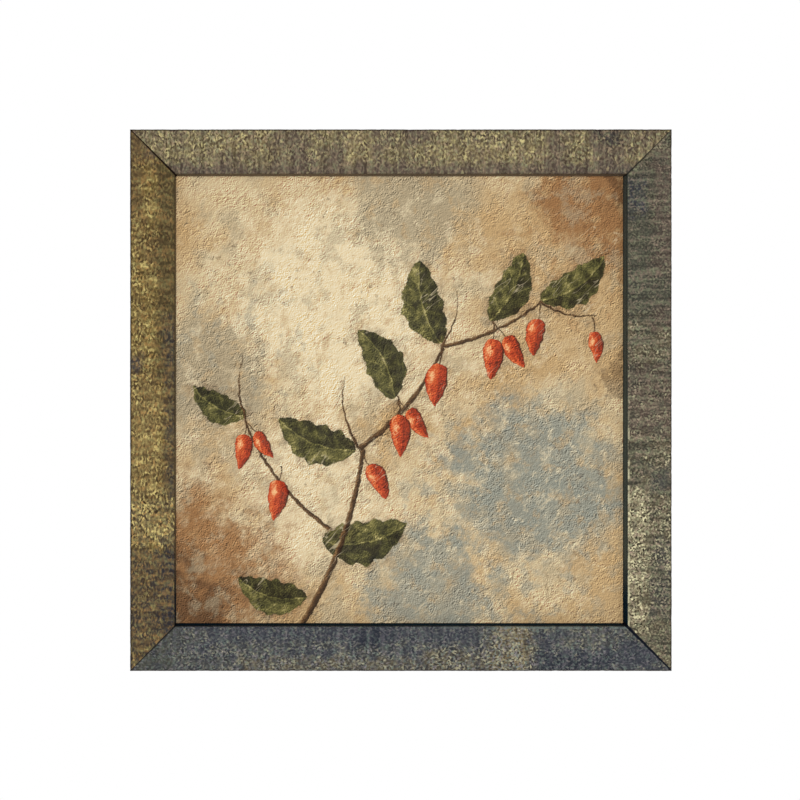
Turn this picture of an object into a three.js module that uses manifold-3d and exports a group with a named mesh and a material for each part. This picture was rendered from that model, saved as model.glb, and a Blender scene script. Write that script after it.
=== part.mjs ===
// A square wooden picture frame that holds a canvas print, with the fittings that hang it on a wall.
//
// Millimetres, +Z up. The front faces -Y and the wall is the plane y = 0. The origin is where the frame
// hangs: on the wall, at mid width, level with the top of the hanger's middle notch.
//
// The four rails are lengths of one moulding, mitred at 45 degrees. Each rail and what goes with it is
// modelled as for the bottom of the frame, round the middle of the picture, and turned to its own side.
import * as THREE from "three";
import { mergeVertices } from "three/addons/utils/BufferGeometryUtils.js";
import Module from "manifold-3d";

const wasm = await Module();
wasm.setup();

// Moulding
const OUTER = 368; // outside width and height of the frame
const FACE_WIDTH = 30.5; // painted face, from the outer edge to the sight edge
const MOULDING_DEPTH = 22; // front to back
const REBATE_WIDTH = 6; // how far the lip laps over the picture
const REBATE_DEPTH = 10; // step at the back that takes the picture and its boards
const OUTER_ROUND = 1.4; // worn edge round the outside of the face
const SIGHT_ROUND = 0.8; // worn edge round the picture
const BACK_CHAMFER = 0.8;
const ROUND_STEPS = 4; // segments in each rounded edge
const GROOVE_WIDTH = 1.1; // open line along each mitre, at the face
const GROOVE_DEPTH = 0.9;

const GAP = 0.3; // between pieces that touch

// Picture and boards, in the rebate, from front to back
const SIDE_CLEARANCE = 1.6; // between a board's edge and the rebate's wall
const CANVAS_THICK = 0.9;
const MOUNT_BOARD_THICK = 3;
const BACKING_BOARD_THICK = 2.5;

// Steel tabs, driven into the rebate's wall, that keep the boards in
const TAB_THICK = 0.6;
const TAB_WIDTH = 8;
const TAB_POINT = 5; // length of the pointed end
const TAB_IN_WOOD = 8;
const TAB_OUT = 11; // length that lies over the backing board
const TAB_OFFSET = 88; // from the middle of a rail

// V nails across each mitre, driven in from the back
const V_NAIL_LEG = 5.5;
const V_NAIL_THICK = 0.6;
const V_NAIL_LENGTH = 10;
const V_NAIL_SINK = 0.4; // how far its head lies below the wood's surface
const V_NAIL_HALF_ANGLE = (35 * Math.PI) / 180;
const V_NAIL_PLACES = { outer: 7, inner: 16 }; // from the frame's outside to the point of the V

// Toothed hanger on the top rail, with its two nails
const HANGER_LENGTH = 46;
const HANGER_HEIGHT = 8.5;
const HANGER_THICK = 0.9;
const HANGER_RISE = 1.9; // how far its middle stands off the level of its ends
const HANGER_END = 8; // flat end, with the nail hole
const HANGER_RAMP = 2.5;
const NOTCH_PITCH = 3;
const NOTCH_DEPTH = 1.6;
const NOTCH_COUNT = 7;
const HANG_DROP = 13.5; // from the top of the frame down to the nail that it hangs on
const NAIL_RADIUS = 0.7;
const NAIL_LENGTH = 12;
const NAIL_POINT = 2;
const NAIL_HEAD_RADIUS = 2.1;
const NAIL_HEAD_THICK = 0.8;

// Felt pads on the bottom rail, which touch the wall
const PAD_RADIUS = 5;
const PAD_THICK = 3;
const PAD_ROUND = 0.6;
const PAD_FROM_SIDE = 34; // from the frame's outside to the pad's centre
const PAD_FROM_BOTTOM = 12;

const ROUND_SIDES = 20; // sides of round pieces and holes

// Worked out from the above
const HALF = OUTER / 2;
const CENTRE_Z = HANG_DROP - HALF; // height of the middle of the picture
const BACK = PAD_THICK + GAP; // from the wall to the rails' back
const REBATE_WALL = HALF - FACE_WIDTH + REBATE_WIDTH; // from the middle of the picture
const PANEL = 2 * (REBATE_WALL - SIDE_CLEARANCE); // width and height of the picture and its boards
const HANGER_SEAT = BACK - GAP; // from the wall to the side of the hanger's ends that faces the wood
const NAIL_X = (HANGER_LENGTH - HANGER_END) / 2;
const NAIL_Z = HANGER_HEIGHT / 2 - NOTCH_DEPTH;
const NAIL_HEAD_SEAT = HANGER_SEAT - HANGER_THICK - GAP;

// Turn of each side of the frame from the bottom, in quarter turns about the picture's middle
const SIDES = { bottom: 0, left: 1, top: 2, right: 3 };
const CORNERS = { bottom_left: 0, top_left: 1, top_right: 2, bottom_right: 3 };
const quarters = (count) => (count * Math.PI) / 2;

const material = (color, roughness, metalness = 0) =>
  new THREE.MeshStandardMaterial({ color, roughness, metalness });
const RAIL_PAINTS = {
  bottom: material(0x565553, 0.75), // slate
  left: material(0x6e5e42, 0.7), // old gold
  top: material(0x756952, 0.72), // olive
  right: material(0x676153, 0.75), // drab
};
const CANVAS = material(0xbfa684, 0.8);
const GREY_BOARD = material(0xb8aa92, 0.9);
const HARDBOARD = material(0x6b4a30, 0.75);
const STEEL = material(0xb5b2a8, 0.35, 1);
const FELT = material(0x3d372f, 0.95);

// A closed three.js geometry as a solid that can be cut and joined.
function solidFrom(geometry) {
  const bare = geometry.clone();
  bare.deleteAttribute("normal");
  bare.deleteAttribute("uv");
  const merged = mergeVertices(bare, 1e-4);
  return new wasm.Manifold(
    new wasm.Mesh({
      numProp: 3,
      vertProperties: merged.getAttribute("position").array,
      triVerts: new Uint32Array(merged.index.array),
    }),
  );
}

// A solid as a three.js geometry with flat faces.
function geometryFrom(solid) {
  const { numVert, numProp, vertProperties, triVerts } = solid.getMesh();
  const positions = new Float32Array(numVert * 3);
  for (let i = 0; i < numVert; i++) {
    positions.set(vertProperties.subarray(i * numProp, i * numProp + 3), i * 3);
  }
  const indexed = new THREE.BufferGeometry();
  indexed.setAttribute("position", new THREE.BufferAttribute(positions, 3));
  indexed.setIndex(new THREE.BufferAttribute(new Uint32Array(triVerts), 1));
  const geometry = indexed.toNonIndexed();
  geometry.computeVertexNormals();
  return geometry;
}

function cutFrom(geometry, cutters) {
  return geometryFrom(cutters.reduce((left, cutter) => left.subtract(solidFrom(cutter)), solidFrom(geometry)));
}

function named(name, geometry, itsMaterial) {
  const mesh = new THREE.Mesh(geometry, itsMaterial);
  mesh.name = name;
  return mesh;
}

const extrude = (shape, depth) =>
  new THREE.ExtrudeGeometry(shape, { depth, bevelEnabled: false, curveSegments: ROUND_STEPS });

// A shape whose x and y become x and z, made solid from y = from to y = to.
function slab(shape, from, to) {
  return extrude(shape, to - from).rotateX(Math.PI / 2).translate(0, to, 0);
}

// A cylinder along y.
function rod(radius, from, to) {
  return new THREE.CylinderGeometry(radius, radius, to - from, ROUND_SIDES).translate(0, (from + to) / 2, 0);
}

// The moulding's section. x runs in from the outer edge to the sight edge, and y from the back to the face.
function mouldingSection() {
  const rebate = FACE_WIDTH - REBATE_WIDTH;
  const shape = new THREE.Shape();
  shape.moveTo(BACK_CHAMFER, 0);
  shape.lineTo(rebate, 0);
  shape.lineTo(rebate, REBATE_DEPTH);
  shape.lineTo(FACE_WIDTH, REBATE_DEPTH);
  shape.absarc(FACE_WIDTH - SIGHT_ROUND, MOULDING_DEPTH - SIGHT_ROUND, SIGHT_ROUND, 0, Math.PI / 2);
  shape.absarc(OUTER_ROUND, MOULDING_DEPTH - OUTER_ROUND, OUTER_ROUND, Math.PI / 2, Math.PI);
  shape.lineTo(0, BACK_CHAMFER);
  return shape;
}

// The bottom rail's moulding, with both ends drawn in along the mitres.
function mitredMoulding() {
  const geometry = extrude(mouldingSection(), OUTER);
  const position = geometry.getAttribute("position");
  const setBack = (GAP / 2) * Math.SQRT2; // half the gap between two rails, measured along the rail
  for (let i = 0; i < position.count; i++) {
    const inwards = position.getX(i);
    const end = Math.sign(position.getZ(i) - HALF);
    position.setXYZ(i, end * (HALF - inwards - setBack), -BACK - position.getY(i), inwards - HALF);
  }
  return geometry;
}

// The V-shaped groove in the face along one of the bottom rail's mitres. end is -1 at the left, 1 at the right.
function mitreGroove(end) {
  const section = new THREE.Shape();
  section.moveTo(-GROOVE_WIDTH, GROOVE_DEPTH);
  section.lineTo(0, -GROOVE_DEPTH);
  section.lineTo(GROOVE_WIDTH, GROOVE_DEPTH);
  const outwards = new THREE.Vector3(0, -1, 0);
  const along = new THREE.Vector3(-end, 0, 1).normalize();
  const across = new THREE.Vector3().crossVectors(outwards, along);
  const length = 2 * FACE_WIDTH;
  const middle = HALF - FACE_WIDTH / 2;
  return extrude(section, length)
    .translate(0, 0, -length / 2)
    .applyMatrix4(new THREE.Matrix4().makeBasis(across, outwards, along))
    .translate(end * middle, -BACK - MOULDING_DEPTH, -middle);
}

// The V of a nail at the bottom left corner, its point towards the corner, between two depths in the wood.
function vBlock(place, spare, from, to) {
  const [one, other] = [-V_NAIL_HALF_ANGLE, V_NAIL_HALF_ANGLE].map((angle) =>
    solidFrom(
      new THREE.BoxGeometry(V_NAIL_LEG + 2 * spare, to - from, V_NAIL_THICK + 2 * spare)
        .translate(V_NAIL_LEG / 2, 0, 0)
        .rotateY(angle - Math.PI / 4),
    ),
  );
  return geometryFrom(one.add(other)).translate(place - HALF, -BACK - (from + to) / 2, place - HALF);
}

const vNail = (place) => vBlock(place, 0, V_NAIL_SINK, V_NAIL_SINK + V_NAIL_LENGTH);
const vNailSlot = (place) => vBlock(place, GAP, -GAP, V_NAIL_SINK + V_NAIL_LENGTH + GAP);

// Each board, from front to back, with the distance of its front from the wall.
function boardStack() {
  let front = BACK + REBATE_DEPTH - GAP;
  return [
    ["canvas_print", CANVAS_THICK, CANVAS],
    ["mount_board", MOUNT_BOARD_THICK, GREY_BOARD],
    ["backing_board", BACKING_BOARD_THICK, HARDBOARD],
  ].map(([name, thick, itsMaterial]) => {
    const board = { name, thick, itsMaterial, front };
    front -= thick + GAP;
    return board;
  });
}

const BOARDS = boardStack();
const TAB_SEAT = BOARDS.at(-1).front - BOARDS.at(-1).thick - GAP; // from the wall to a tab's front

// A tab over the backing board, at the middle of the bottom rail. Its pointed end is in the wood.
function tab() {
  const shape = new THREE.Shape();
  const half = TAB_WIDTH / 2;
  shape.moveTo(0, -TAB_IN_WOOD);
  shape.lineTo(half, TAB_POINT - TAB_IN_WOOD);
  shape.absarc(0, TAB_OUT - half, half, 0, Math.PI);
  shape.lineTo(-half, TAB_POINT - TAB_IN_WOOD);
  return slab(shape, -TAB_SEAT, TAB_THICK - TAB_SEAT).translate(0, 0, -REBATE_WALL);
}

function tabSlot() {
  const height = TAB_IN_WOOD + 2 * GAP;
  return new THREE.BoxGeometry(TAB_WIDTH + 2 * GAP, TAB_THICK + 2 * GAP, height).translate(
    0,
    TAB_THICK / 2 - TAB_SEAT,
    height / 2 - REBATE_WALL - TAB_IN_WOOD - GAP,
  );
}

// A rail, with its grooves and the slots and holes that its fittings are driven into.
function rail(side) {
  const cutters = [mitreGroove(-1), mitreGroove(1)];
  for (const place of Object.values(V_NAIL_PLACES)) {
    cutters.push(vNailSlot(place));
    cutters.push(vNailSlot(place).rotateY(quarters(-1)));
  }
  for (const x of [-TAB_OFFSET, TAB_OFFSET]) {
    cutters.push(tabSlot().translate(x, 0, 0));
  }
  if (side === "top") {
    const hole = () => rod(NAIL_RADIUS + GAP, -NAIL_HEAD_SEAT - NAIL_LENGTH - GAP, 0);
    cutters.push(hole().translate(-NAIL_X, 0, CENTRE_Z - NAIL_Z));
    cutters.push(hole().translate(NAIL_X, 0, CENTRE_Z - NAIL_Z));
  }
  return named(`rail_${side}`, cutFrom(mitredMoulding(), cutters), RAIL_PAINTS[side]);
}

// The four sides: each rail with its two tabs and, at one corner, its two V nails.
function frameSides() {
  const sides = new THREE.Group();
  sides.position.z = CENTRE_Z;
  for (const [side, turn] of Object.entries(SIDES)) {
    const group = new THREE.Group();
    group.rotation.y = quarters(turn);
    group.add(rail(side));
    [-TAB_OFFSET, TAB_OFFSET].forEach((x, i) => {
      const mesh = named(`tab_${side}_${i + 1}`, tab(), STEEL);
      mesh.position.x = x;
      group.add(mesh);
    });
    sides.add(group);
  }
  for (const [corner, turn] of Object.entries(CORNERS)) {
    const group = new THREE.Group();
    group.rotation.y = quarters(turn);
    for (const [which, place] of Object.entries(V_NAIL_PLACES)) {
      group.add(named(`v_nail_${corner}_${which}`, vNail(place), STEEL));
    }
    sides.add(group);
  }
  return sides;
}

function boards() {
  const group = new THREE.Group();
  group.position.z = CENTRE_Z;
  for (const { name, thick, itsMaterial, front } of BOARDS) {
    const mesh = named(name, new THREE.BoxGeometry(PANEL, thick, PANEL), itsMaterial);
    mesh.position.y = thick / 2 - front;
    group.add(mesh);
  }
  return group;
}

// The hanger: a strip with its middle raised off the wood, toothed along its lower edge.
function hanger() {
  const half = HANGER_LENGTH / 2;
  const line = [
    [-half, 0],
    [HANGER_END - half, 0],
    [HANGER_END + HANGER_RAMP - half, HANGER_RISE],
    [half - HANGER_END - HANGER_RAMP, HANGER_RISE],
    [half - HANGER_END, 0],
    [half, 0],
  ];
  const under = line.map(([x, y]) => new THREE.Vector2(x, y));
  const over = line.map(([x, y]) => new THREE.Vector2(x, y + HANGER_THICK)).reverse();
  const strip = extrude(new THREE.Shape([...under, ...over]), HANGER_HEIGHT).translate(0, 0, -NOTCH_DEPTH);
  const notch = new THREE.Shape();
  notch.moveTo(-NOTCH_PITCH, -2 * NOTCH_DEPTH);
  notch.lineTo(0, 0);
  notch.lineTo(NOTCH_PITCH, -2 * NOTCH_DEPTH);
  const clear = HANGER_RISE + 2 * HANGER_THICK;
  const cutters = [];
  for (let i = 0; i < NOTCH_COUNT; i++) {
    cutters.push(slab(notch, -clear, clear).translate((i - (NOTCH_COUNT - 1) / 2) * NOTCH_PITCH, 0, 0));
  }
  for (const x of [-NAIL_X, NAIL_X]) {
    cutters.push(rod(NAIL_RADIUS + GAP, -clear, clear).translate(x, 0, NAIL_Z));
  }
  const mesh = named("hanger_plate", cutFrom(strip, cutters), STEEL);
  mesh.position.y = -HANGER_SEAT;
  return mesh;
}

// A nail along y, its point towards the front and the underside of its head at y = 0.
function hangerNail(name, x) {
  const profile = [
    [0, -NAIL_LENGTH],
    [NAIL_RADIUS, NAIL_POINT - NAIL_LENGTH],
    [NAIL_RADIUS, 0],
    [NAIL_HEAD_RADIUS, 0],
    [NAIL_HEAD_RADIUS, NAIL_HEAD_THICK / 2],
    [NAIL_HEAD_RADIUS * 0.75, NAIL_HEAD_THICK],
    [0, NAIL_HEAD_THICK],
  ].map(([r, y]) => new THREE.Vector2(r, y));
  const mesh = named(name, new THREE.LatheGeometry(profile, ROUND_SIDES), STEEL);
  mesh.position.set(x, -NAIL_HEAD_SEAT, NAIL_Z);
  return mesh;
}

// A felt pad, from y = -PAD_THICK to the wall.
function pad(name, end) {
  const profile = [
    [0, -PAD_THICK],
    [PAD_RADIUS, -PAD_THICK],
    [PAD_RADIUS, -PAD_ROUND],
    [PAD_RADIUS - PAD_ROUND, 0],
    [0, 0],
  ].map(([r, y]) => new THREE.Vector2(r, y));
  const mesh = named(name, new THREE.LatheGeometry(profile, ROUND_SIDES), FELT);
  mesh.position.set(end * (HALF - PAD_FROM_SIDE), 0, CENTRE_Z - HALF + PAD_FROM_BOTTOM);
  return mesh;
}

const picture = new THREE.Group();
picture.add(frameSides(), boards(), hanger());
picture.add(hangerNail("hanger_nail_left", -NAIL_X), hangerNail("hanger_nail_right", NAIL_X));
picture.add(pad("wall_pad_left", -1), pad("wall_pad_right", 1));

export default picture;
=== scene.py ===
# %% [markdown]
# # A framed picture
# This script gives a square wooden picture frame its looks. The construction comes ready made from a
# CAD model: four mitred rails, the canvas and its boards, and the steel fittings on the back. Here the
# rails get worn edges and distressed paint, the canvas gets its painting, and the fittings get metal.
# Everything is in metres. The picture faces -Y, the wall is the plane y = 0, and Z is up.

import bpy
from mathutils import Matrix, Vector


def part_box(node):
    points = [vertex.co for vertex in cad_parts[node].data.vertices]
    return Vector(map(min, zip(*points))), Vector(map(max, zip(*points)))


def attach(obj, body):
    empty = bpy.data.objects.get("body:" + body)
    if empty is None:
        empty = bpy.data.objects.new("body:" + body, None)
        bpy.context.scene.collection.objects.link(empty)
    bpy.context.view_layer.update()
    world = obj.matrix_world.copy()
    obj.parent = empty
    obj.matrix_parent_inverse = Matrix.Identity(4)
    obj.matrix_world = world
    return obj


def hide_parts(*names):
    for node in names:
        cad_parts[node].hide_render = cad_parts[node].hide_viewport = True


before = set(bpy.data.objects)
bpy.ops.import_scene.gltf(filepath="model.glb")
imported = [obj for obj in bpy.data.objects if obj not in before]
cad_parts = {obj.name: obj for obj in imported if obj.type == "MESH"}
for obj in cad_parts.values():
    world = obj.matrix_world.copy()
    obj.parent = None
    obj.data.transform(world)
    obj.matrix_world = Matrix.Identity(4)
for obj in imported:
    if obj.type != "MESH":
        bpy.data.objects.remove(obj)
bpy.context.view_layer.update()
print("the frame has", len(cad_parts), "pieces")

# %% [markdown]
# bmesh makes and shapes the meshes. mathutils has the vectors and matrices that place them, and the
# noise that wears them down, which gives the same value for the same place in every run.

# %% Tools
import math

import bmesh
import bpy
from mathutils import Matrix, Vector, noise

# %% [markdown]
# The sizes come from the model, so that the looks fit it however it is scaled. The picture's middle is
# the point that everything is laid out from, because a square frame has the same rail four times round
# it.

# %% Sizes
MM = 0.001
GAP = 0.3 * MM  # the model leaves this between pieces that touch
SAME = 1e-6  # points closer than this are one point
RAIL_LOW, RAIL_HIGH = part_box("rail_bottom")
FACE = RAIL_HIGH.z - RAIL_LOW.z  # width of a rail's face
FRONT = RAIL_LOW.y
BACK = RAIL_HIGH.y
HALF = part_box("rail_right")[1].x  # from the picture's middle to the outside of a rail
CENTRE = Vector((0, 0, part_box("rail_top")[1].z - HALF))
CANVAS_LOW, CANVAS_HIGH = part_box("canvas_print")
CANVAS_HALF = CANVAS_HIGH.x
LIP_BACK = CANVAS_LOW.y - GAP
print(f"outside {2 * HALF / MM:.0f} mm, face {FACE / MM:.1f} mm, middle at {CENTRE.z / MM:.1f} mm")

# %% [markdown]
# ## Camera
# The photograph is taken square on, yet the inner sides of the right and bottom rails show more than
# those of the left and top ones. So the lens is a little to the left of the picture's middle and above
# it, looks straight at the wall, and is shifted back until the frame is in the middle of the image, as
# a view camera does. A turned camera would make the square a trapezium.

# %% Camera
IMAGE_WIDTH = 542.5 * MM  # what the image shows at the rails' face
DISTANCE = 0.9  # from the lens to the rails' face
LENS_ASIDE = Vector((-0.08, 0, 0.03))  # from the picture's middle
FRAME_ASIDE = Vector((0.00069, 0, -0.00015))  # from the image's middle to the frame's
SENSOR = 36  # millimetres
NEAREST = 0.05  # the camera sees nothing that is nearer


def new_object(name, data):
    """Makes an object and puts it in the scene."""
    made = bpy.data.objects.new(name, data)
    bpy.context.collection.objects.link(made)
    return made


camera_data = bpy.data.cameras.new("camera")
camera_data.sensor_width = SENSOR
camera_data.lens = SENSOR * DISTANCE / IMAGE_WIDTH
camera_data.shift_x = -(LENS_ASIDE.x + FRAME_ASIDE.x) / IMAGE_WIDTH
camera_data.shift_y = -(LENS_ASIDE.z + FRAME_ASIDE.z) / IMAGE_WIDTH
camera_data.clip_start = NEAREST
camera = new_object("camera", camera_data)
camera.location = CENTRE + LENS_ASIDE + Vector((0, FRONT - DISTANCE, 0))
camera.rotation_euler = (math.pi / 2, 0, 0)
bpy.context.scene.camera = camera
print(f"lens {camera_data.lens:.1f} mm, shift {camera_data.shift_x:.3f}, {camera_data.shift_y:.3f}")

# %% [markdown]
# ## Shader arithmetic
# A pattern in a material is a sum: this noise, times that mask, plus a little more. Blender does such
# sums with Math nodes, which are slow to wire by hand. The class below holds one socket, and Python's
# own operators on it add the nodes, so that a pattern can be written as an expression. Places are
# vectors, which go through its method vector_math(), and any other kind of node comes from node().


# %% A flow of values
class Flow:
    """A socket of a material. Arithmetic with flows and numbers adds Math nodes."""

    def __init__(self, socket):
        self.socket = socket

    def node(self, kind, settings, inputs, output=0):
        """Adds a node: its settings come first, then the values or links of its sockets."""
        tree = self.socket.id_data
        made = tree.nodes.new(kind)
        for name, value in settings.items():
            if name == "stops":
                set_stops(made.color_ramp, value)
            else:
                setattr(made, name, value)
        for key, value in inputs.items():
            if isinstance(value, Flow):
                tree.links.new(value.socket, made.inputs[key])
            else:
                made.inputs[key].default_value = value
        return Flow(made.outputs[output])

    def beside(self, output):
        """Another output of the node that this flow comes from."""
        return Flow(self.socket.node.outputs[output])

    def math(self, operation, *others):
        """A Math node of this flow and others, which may be numbers."""
        return self.node("ShaderNodeMath", {"operation": operation}, dict(enumerate((self, *others))))

    def vector_math(self, operation, *others, output=0):
        """A Vector Math node of this flow and others, which may be plain vectors."""
        inputs = dict(enumerate((self, *others)))
        return self.node("ShaderNodeVectorMath", {"operation": operation}, inputs, output)

    def __add__(self, other):
        return self.math("ADD", other)

    def __sub__(self, other):
        return self.math("SUBTRACT", other)

    def __rsub__(self, other):
        return self.node("ShaderNodeMath", {"operation": "SUBTRACT"}, {0: other, 1: self})

    def __mul__(self, other):
        return self.math("MULTIPLY", other)

    def __truediv__(self, other):
        return self.math("DIVIDE", other)

    def __pow__(self, other):
        return self.math("POWER", other)

    def __abs__(self):
        return self.math("ABSOLUTE")

    __radd__ = __add__
    __rmul__ = __mul__


def set_stops(ramp, stops):
    """Gives a colour ramp its stops, a list of (position, colour)."""
    while len(ramp.elements) < len(stops):
        ramp.elements.new(1.0)
    for element, (position, colour) in zip(ramp.elements, stops):
        element.position = position
        element.color = colour


print("arithmetic on sockets is ready")

# %% [markdown]
# A few words for what the patterns below do again and again. Colours are written as a painter would
# mix them on a screen, from 0 to 255, and turned into the linear light that the shader works in.


# %% Words for patterns
def tint(red, green, blue):
    """A screen colour as linear light."""
    linear = [((c / 255 + 0.055) / 1.055) ** 2.4 for c in (red, green, blue)]
    return (*linear, 1.0)


def blend(one, other, share):
    """From one colour to another, as share goes from 0 to 1."""
    return share.node("ShaderNodeMix", {"data_type": "RGBA"}, {0: share, 6: one, 7: other}, output=2)


def ease(value, low, high):
    """0 at low, 1 at high and an eased step between them. Low may be the larger one."""
    settings = {"interpolation_type": "SMOOTHSTEP"}
    return value.node("ShaderNodeMapRange", settings, {"Value": value, "From Min": low, "From Max": high})


def ease_from(start, value, ends):
    """The same step, with low and high given as a pair of distances from a start."""
    return ease(value, start + ends[0], start + ends[1])


def larger(one, other):
    """The larger of two flows, or of a flow and a number."""
    return one.math("MAXIMUM", other)


def drawn_out(place, x, y, z):
    """The place for a pattern that is to be this many times as long on each axis."""
    return place.vector_math("MULTIPLY", (1 / x, 1 / y, 1 / z))


def cloud(place, size, detail=2.0, rough=0.5, wander=0.0):
    """Noise from 0 to 1, about 0.5 most often, in lumps of this size."""
    inputs = {"Vector": place, "Scale": 1 / size, "Detail": detail, "Roughness": rough, "Distortion": wander}
    return place.node("ShaderNodeTexNoise", {}, inputs)


def thin_lines(place, wide, thin, size=1.0, detail=2.0, rough=0.5):
    """Lines where a noise passes its middle. They fade out from thin to wide."""
    return ease(abs(cloud(place, size, detail, rough) - 0.5), wide, thin)


def axes(place):
    """The three coordinates of a place."""
    first = place.node("ShaderNodeSeparateXYZ", {}, {"Vector": place})
    return first, first.beside(1), first.beside(2)


print("mid grey is", [round(c, 2) for c in tint(128, 128, 128)], "in linear light")

# %% [markdown]
# Every material starts the same way: a Principled shader, and the place on the object in millimetres
# from the picture's middle. Object coordinates are used because all pieces share one origin, so a
# pattern runs on from one piece to the next.


# %% A material and its place
def new_material(name, **constants):
    """A material with these constants on its shader's own sockets. Gives it, its shader and the place."""
    material = bpy.data.materials.new(name)
    material.use_nodes = True
    nodes = material.node_tree.nodes
    shader = nodes["Principled BSDF"]
    for socket, value in constants.items():
        shader.inputs[socket.replace("_", " ")].default_value = value
    point = Flow(nodes.new("ShaderNodeTexCoord").outputs["Object"])
    mapping = {"Vector": point, "Location": -CENTRE / MM, "Scale": (1 / MM,) * 3}
    return material, shader, point.node("ShaderNodeMapping", {}, mapping)


def feed(shader, **sockets):
    """Links flows to the shader's sockets."""
    for name, flow in sockets.items():
        flow.socket.id_data.links.new(flow.socket, shader.inputs[name.replace("_", " ")])


def relief(height, depth):
    """A bump of this depth in metres, for the shader's Normal."""
    return height.node("ShaderNodeBump", {}, {"Height": height, "Distance": depth, "Strength": 1.0})


print("materials are laid out in millimetres from", tuple(round(c / MM, 1) for c in CENTRE))

# %% [markdown]
# ## The rails' finish
# The frame is painted to look old. Each rail has its own layout: slate and navy along the bottom, old
# gold on the left, olive with dark marks across the grain on top, and a drab right rail that is rubbed
# pale lower down. A rail's layout is a list of patches over its ground, each with its own paint and its
# own share of pale curls.

# %% Paints and their layout
GOLD = tint(126, 106, 62)
BROWN = tint(100, 82, 56)
MOSS = tint(80, 71, 48)
OLIVE = tint(121, 109, 81)
TAN = tint(138, 122, 88)
STRAW = tint(156, 144, 114)
DRAB = tint(104, 95, 76)
SLATE = tint(79, 79, 76)
SPRUCE = tint(76, 77, 67)
NAVY = tint(66, 68, 76)
MAUVE = tint(98, 85, 76)
OCHRE = tint(134, 114, 74)
LODEN = tint(58, 57, 59)
SOOT = tint(46, 50, 60)

# A patch is a paint and its share of pale curls, then where its middle is, along the rail from its
# middle, rightwards or upwards, and in from its outside, and its half sizes, in millimetres.
RAIL_LAYOUTS = {
    "top": {
        "ground": OLIVE,
        "other": MAUVE,  # a second ground, in clouds over the first
        "furrow": tint(50, 40, 30),  # between the curls
        "pale": (tint(212, 198, 140), tint(150, 150, 116), tint(172, 150, 122)),  # bright, dull, warm
        "share": 0.75,  # of pale curls, where no patch says otherwise
        "calm": 0.3,  # contrast lost towards the picture
        "grain": (1.0, 1.0, 1.5),  # how far curls are drawn out on each axis
        "bands": (0.8, 1.0, 4.0),  # and the larger patches of ground
        "streaks": 0.36,  # strength of the brush marks across the rail
        "patches": [
            (TAN, 1.0, -110, 8, 13, 7),
            (TAN, 0.9, -92, 8, 8, 7),
            (MAUVE, 0.4, -70, 14, 7, 30),
            (MAUVE, 0.2, -44, 24, 8, 12),
            (TAN, 0.9, -28, 13, 9, 12),
            (MAUVE, 0.3, 12, 4, 12, 6),
            (OLIVE, 1.0, 58, 12, 36, 12),
            (TAN, 0.9, 62, 16, 40, 5),
            (MAUVE, 0.3, 106, 18, 6, 30),
            (MAUVE, 0.4, 142, 12, 10, 30),
            (LODEN, 0.3, 142, 6, 10, 6),
            (SLATE, 0.2, 136, 29, 26, 4),
            (SOOT, 0.15, -136, 29, 16, 3),
            (MAUVE, 0.3, -20, 29, 170, 5),
        ],
    },
    "left": {
        "ground": GOLD,
        "other": BROWN,
        "furrow": tint(50, 37, 26),
        "pale": (tint(218, 198, 128), tint(152, 142, 92), tint(176, 138, 84)),
        "share": 1.0,
        "calm": 0.3,
        "grain": (1.0, 1.0, 1.6),
        "bands": (1.5, 1.0, 3.0),
        "streaks": 0.36,
        "patches": [
            (MAUVE, 0.2, 178, 12, 16, 24),
            (BROWN, 0.3, 156, 3, 36, 7),
            (MOSS, 0.15, 108, 26, 96, 8),
            (LODEN, 0.1, -24, 29, 80, 6),
            (OCHRE, 0.95, -32, 9, 40, 11),
            (NAVY, 0.3, 24, 3, 5, 5),
            (MAUVE, 0.3, -80, 6, 6, 7),
            (OLIVE, 1.9, -82, 15, 17, 22),
            (LODEN, 0.28, -150, 10, 50, 30),
            (SOOT, 0.0, -143, 29, 40, 8),
        ],
    },
    "right": {
        "ground": DRAB,
        "other": SPRUCE,
        "furrow": tint(40, 36, 32),
        "pale": (tint(232, 224, 180), tint(152, 154, 122), tint(170, 150, 130)),
        "share": 0.45,
        "calm": 0.0,
        "grain": (1.0, 1.0, 1.0),
        "bands": (2.0, 1.0, 1.0),
        "streaks": 0.4,
        "patches": [
            (SPRUCE, 0.0, 108, 20, 52, 20),
            (NAVY, 0.0, 138, 25, 12, 7),
            (MAUVE, 0.1, 110, 6, 60, 8),
            (SPRUCE, 0.1, 74, 15, 10, 30),
            (MAUVE, 0.4, 0, 12, 24, 30),
            (STRAW, 2.1, -110, 27, 47, 11),
            (DRAB, 0.9, -84, 6, 18, 7),
            (SLATE, 0.2, -54, 8, 8, 7),
            (SLATE, 0.8, -104, 6, 10, 6),
            (SLATE, 0.5, -134, 8, 12, 7),
        ],
    },
    "bottom": {
        "ground": SLATE,
        "other": NAVY,
        "furrow": tint(38, 40, 47),
        "pale": (tint(178, 172, 142), tint(118, 132, 122), tint(134, 128, 132)),
        "share": 0.7,
        "calm": 0.4,
        "grain": (1.2, 1.0, 1.0),
        "bands": (2.5, 1.0, 1.0),
        "streaks": 0.26,
        "patches": [
            (SPRUCE, 0.3, -168, 10, 16, 24),
            (NAVY, 0.5, -40, 27, 90, 7),
            (DRAB, 0.8, -50, 4, 60, 5),
            (DRAB, 1.1, 44, 6, 30, 9),
            (TAN, 1.8, 76, 12, 13, 22),
            (SOOT, 0.3, 118, 5, 26, 8),
            (NAVY, 0.2, 160, 10, 14, 10),
            (SOOT, 0.2, -18, 25, 11, 8),
        ],
    },
}
print(sum(len(layout["patches"]) for layout in RAIL_LAYOUTS.values()), "patches of paint")


# %% [markdown]
# A rail's own coordinates are the distance along it and the distance in from its outside. Both come
# from the place by swapping and mirroring axes, so one recipe paints all four rails. What is drawn out
# along a rail or across it is given in the rail's own directions too.


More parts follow.
